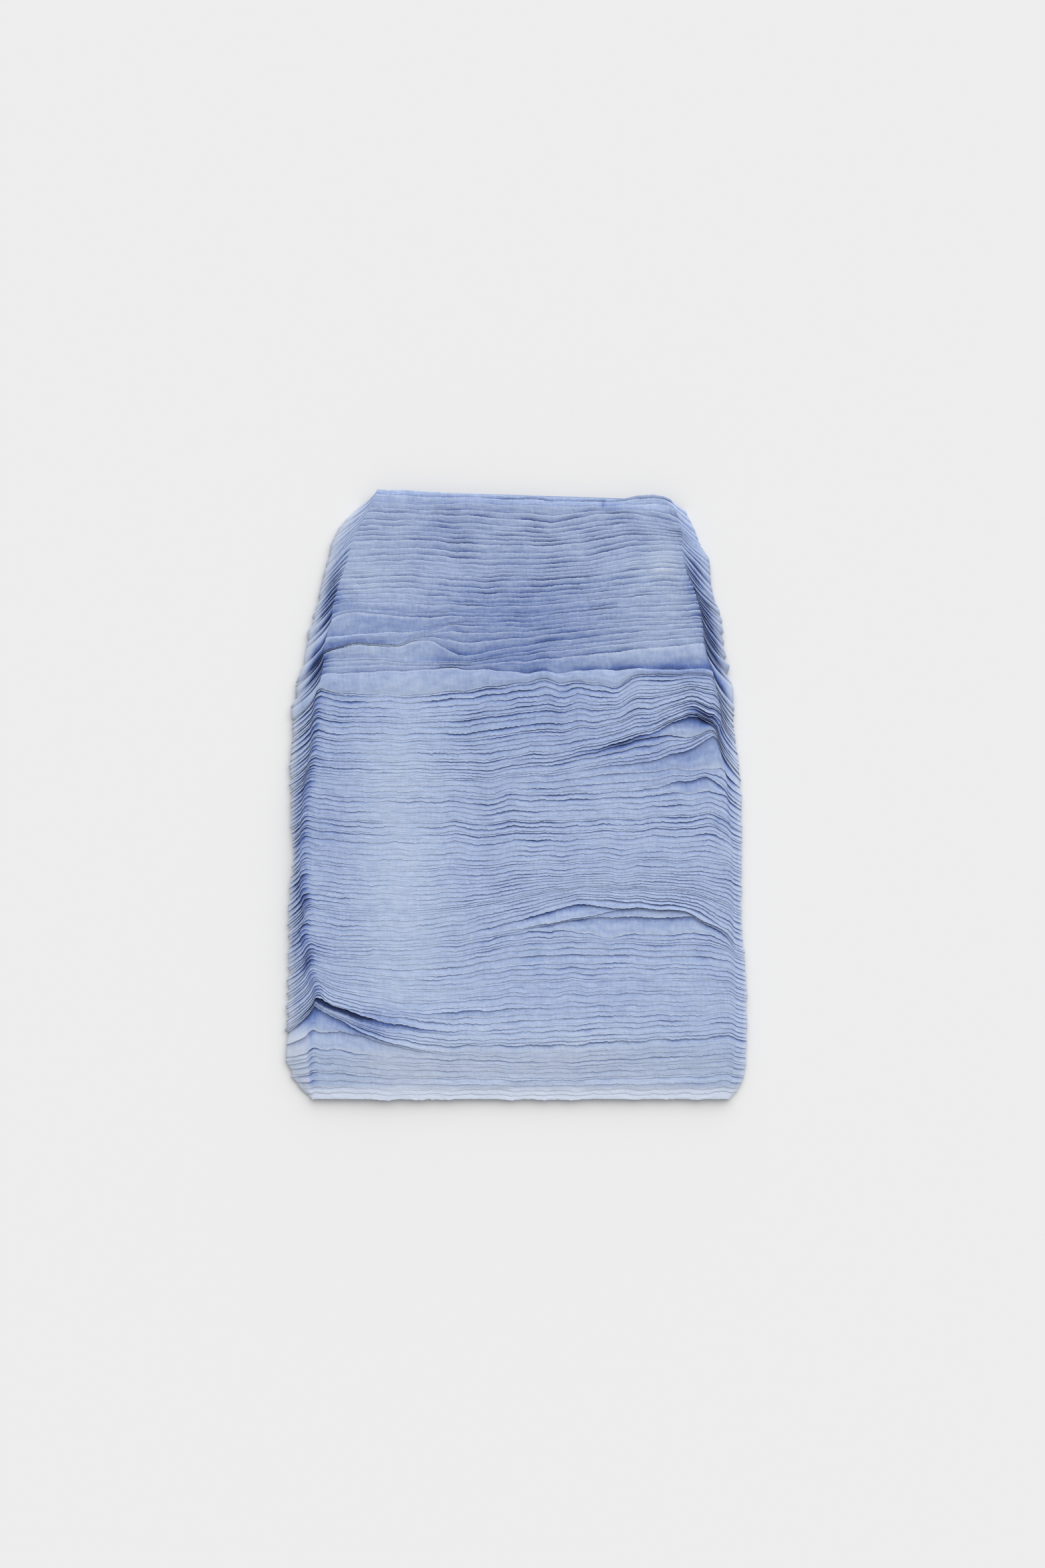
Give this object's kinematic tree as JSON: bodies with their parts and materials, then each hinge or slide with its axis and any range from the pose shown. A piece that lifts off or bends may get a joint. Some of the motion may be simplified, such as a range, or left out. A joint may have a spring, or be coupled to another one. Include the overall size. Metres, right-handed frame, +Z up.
{
  "type": "layered skirt",
  "caption": "Knee-length pencil skirt laid flat, covered in close rows of narrow raw-edged sheer strips that point up above the hip and hang down below it.",
  "frame": {"origin": "under the middle of the outline, on the surface that the skirt lies on", "axes": "+Y towards the waist, +X to the right seen from above, +Z up from the back panel to the front panel"},
  "size_m": [0.4528, 0.5954, 0.017],
  "materials": {
    "foundation_cloth": "matt",
    "upper_strips": "matt, slightly sheer",
    "lower_strips": "matt, slightly sheer"
  },
  "bodies": {
    "root": {"base_front": "foundation_cloth", "base_back": "foundation_cloth", "upper_front_1": "upper_strips", "upper_front_2": "upper_strips", "upper_front_3": "upper_strips", "upper_front_4": "upper_strips", "turn_band_front": "upper_strips", "upper_back_1": "upper_strips", "upper_back_2": "upper_strips", "upper_back_3": "upper_strips", "upper_back_4": "upper_strips", "turn_band_back": "upper_strips", "lower_front_1": "lower_strips", "lower_front_2": "lower_strips", "lower_front_3": "lower_strips", "lower_front_4": "lower_strips", "lower_front_5": "lower_strips", "lower_front_6": "lower_strips", "lower_front_7": "lower_strips", "lower_front_8": "lower_strips", "lower_front_9": "lower_strips", "lower_back_1": "lower_strips", "lower_back_2": "lower_strips", "lower_back_3": "lower_strips", "lower_back_4": "lower_strips", "lower_back_5": "lower_strips", "lower_back_6": "lower_strips", "lower_back_7": "lower_strips", "lower_back_8": "lower_strips", "lower_back_9": "lower_strips"}
  },
  "joints": []
}
